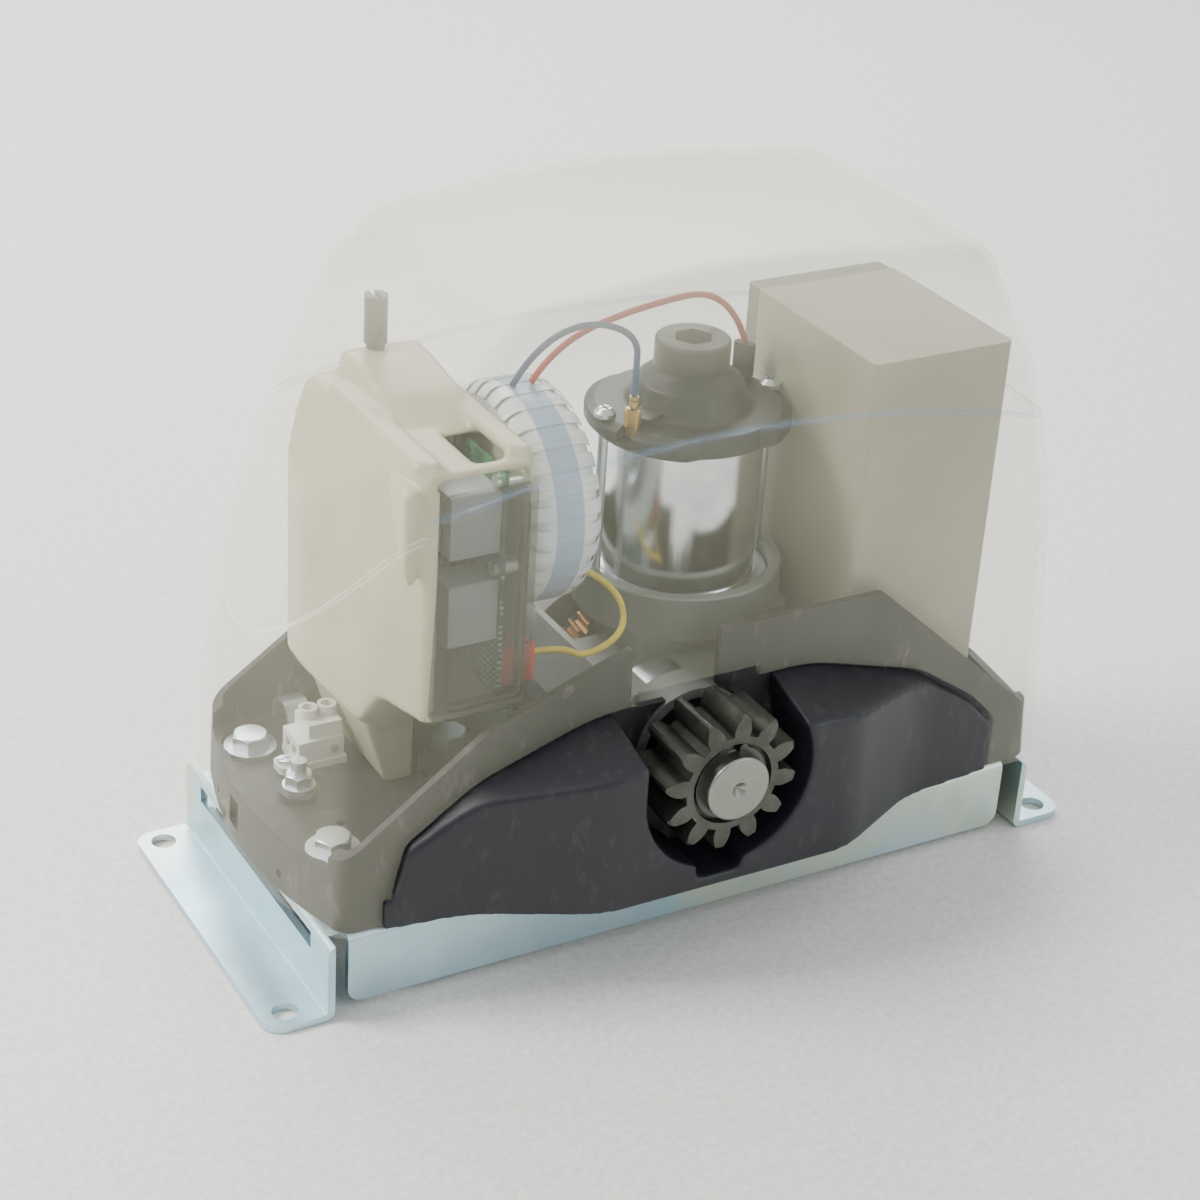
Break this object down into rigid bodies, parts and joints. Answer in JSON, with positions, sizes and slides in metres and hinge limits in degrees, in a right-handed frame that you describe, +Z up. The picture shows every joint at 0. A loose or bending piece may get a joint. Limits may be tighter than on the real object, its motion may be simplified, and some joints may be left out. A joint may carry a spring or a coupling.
{
  "type": "sliding gate motor",
  "caption": "Sliding gate motor on a folded foundation plate: worm gearbox with a front pinion, upright motor, controller, coil transformer and battery under a lift-off cover.",
  "frame": {"origin": "on the floor, at the centre of the four foundation holes", "axes": "+X along the gate (left to right seen from the pinion side), +Y away from the rack towards the rear, +Z up"},
  "size_m": [0.367, 0.171, 0.2736],
  "materials": {
    "zinc_plate": "bright zinc-plated sheet, satin with darker grain",
    "zinc_fixing": "bright zinc-plated bolts, washers and screws",
    "black_screw": "blackened socket screws",
    "tray_plastic": "fine-grained black moulding",
    "guard_plastic": "black moulding with a soft sheen",
    "cast_aluminium": "light grey gravity casting, slightly rough",
    "machined_aluminium": "turned faces with fine rings",
    "gear_steel": "phosphated dark steel, oiled",
    "turned_steel": "bright turned steel",
    "bearing_steel": "ground bearing steel",
    "seal_rubber": "black nitrile rubber",
    "bronze": "sintered and cast bronze",
    "motor_steel": "bright plated drawn steel can",
    "magnet": "dark ferrite",
    "lamination": "stacked electrical steel sheet",
    "copper": "enamelled copper and bare copper bars",
    "cap_plastic": "dark grey-olive glass-filled nylon",
    "carbon": "dull carbon",
    "spring_steel": "bright spring wire",
    "brass": "bright brass",
    "controller_plastic": "warm cream moulding with fine grain",
    "smoked_plastic": "smoked dark, faintly see-through",
    "board_green": "green solder resist",
    "relay_white": "white relay cases",
    "part_black": "dark capacitor sleeves and a ribbed heat sink",
    "plug_red": "red plug housings",
    "dark_post": "dark slotted post",
    "coil_white": "white film-wrapped coil",
    "block_white": "white terminal moulding",
    "battery_grey": "beige-grey ABS case",
    "battery_dark": "dark grey ABS lid",
    "wire_blue": "blue PVC insulation",
    "wire_red": "red PVC insulation",
    "wire_yellow": "yellow PVC insulation",
    "sleeve_black": "soft black PVC sleeve",
    "cover_cream": "cream cover shown see-through, pale blue line along its ledge"
  },
  "bodies": {
    "base": {"foundation_plate": "zinc_plate", "fixing_bolts": "zinc_fixing", "fixing_washers": "zinc_fixing", "fixing_nuts": "zinc_fixing", "base_housing": "tray_plastic", "floor_stud": "zinc_fixing", "centre_bolt": "zinc_fixing", "terminal_block": "block_white", "terminal_screws": "zinc_fixing", "cable_clamp": "zinc_fixing", "gearbox_case": "cast_aluminium", "gearbox_cover": "cast_aluminium", "gearbox_cover_screws": "black_screw", "gearbox_bolts": "black_screw", "bearing_outer_rings": "bearing_steel", "motor_bearing_outer_rings": "bearing_steel", "output_seal": "seal_rubber", "worm_bush": "bronze", "motor_plate": "machined_aluminium", "motor_can": "motor_steel", "motor_magnets": "magnet", "motor_end_cap": "cap_plastic", "motor_screws": "zinc_fixing", "brushes": "carbon", "brush_springs": "spring_steel", "brush_terminals": "brass", "controller_housing": "controller_plastic", "controller_window": "smoked_plastic", "control_board": "board_green", "board_screws": "zinc_fixing", "relays": "relay_white", "board_parts": "part_black", "plug_terminals": "plug_red", "mast": "dark_post", "support_bracket": "zinc_plate", "bracket_screws": "zinc_fixing", "transformer_coil": "coil_white", "transformer_washer": "zinc_fixing", "transformer_bolt": "zinc_fixing", "blue_wire": "wire_blue", "red_wire": "wire_red", "yellow_wire": "wire_yellow", "terminal_sleeve": "sleeve_black", "battery_case": "battery_grey", "battery_lid": "battery_dark", "battery_terminals": "zinc_fixing", "pinion_guard": "guard_plastic"},
    "output": {"output_inner_rings": "bearing_steel", "output_shaft": "turned_steel", "pinion": "gear_steel", "pinion_key": "turned_steel", "pinion_ring": "spring_steel", "worm_wheel": "bronze", "wheel_key": "turned_steel"},
    "armature": {"worm_shaft": "turned_steel", "motor_inner_rings": "bearing_steel", "armature_core": "lamination", "armature_windings": "copper", "commutator": "copper"},
    "cover": {"cover": "cover_cream"}
  },
  "joints": [
    {"name": "armature_spin", "type": "hinge", "parent": "base", "child": "armature", "pos_m": [0.027, 0.007, 0.15], "axis": [0, 0, 1], "continuous": true},
    {"name": "output_spin", "type": "hinge", "parent": "base", "child": "output", "pos_m": [-0.005, 0.007, 0.0784], "axis": [0, 1, 0], "continuous": true},
    {"name": "cover_lift", "type": "slide", "parent": "base", "child": "cover", "axis": [0, 0, 1], "range_m": [0, 0.265]}
  ],
  "couplings": [
    {"joint": "output_spin", "follows": "armature_spin", "ratio": 0.033333}
  ]
}
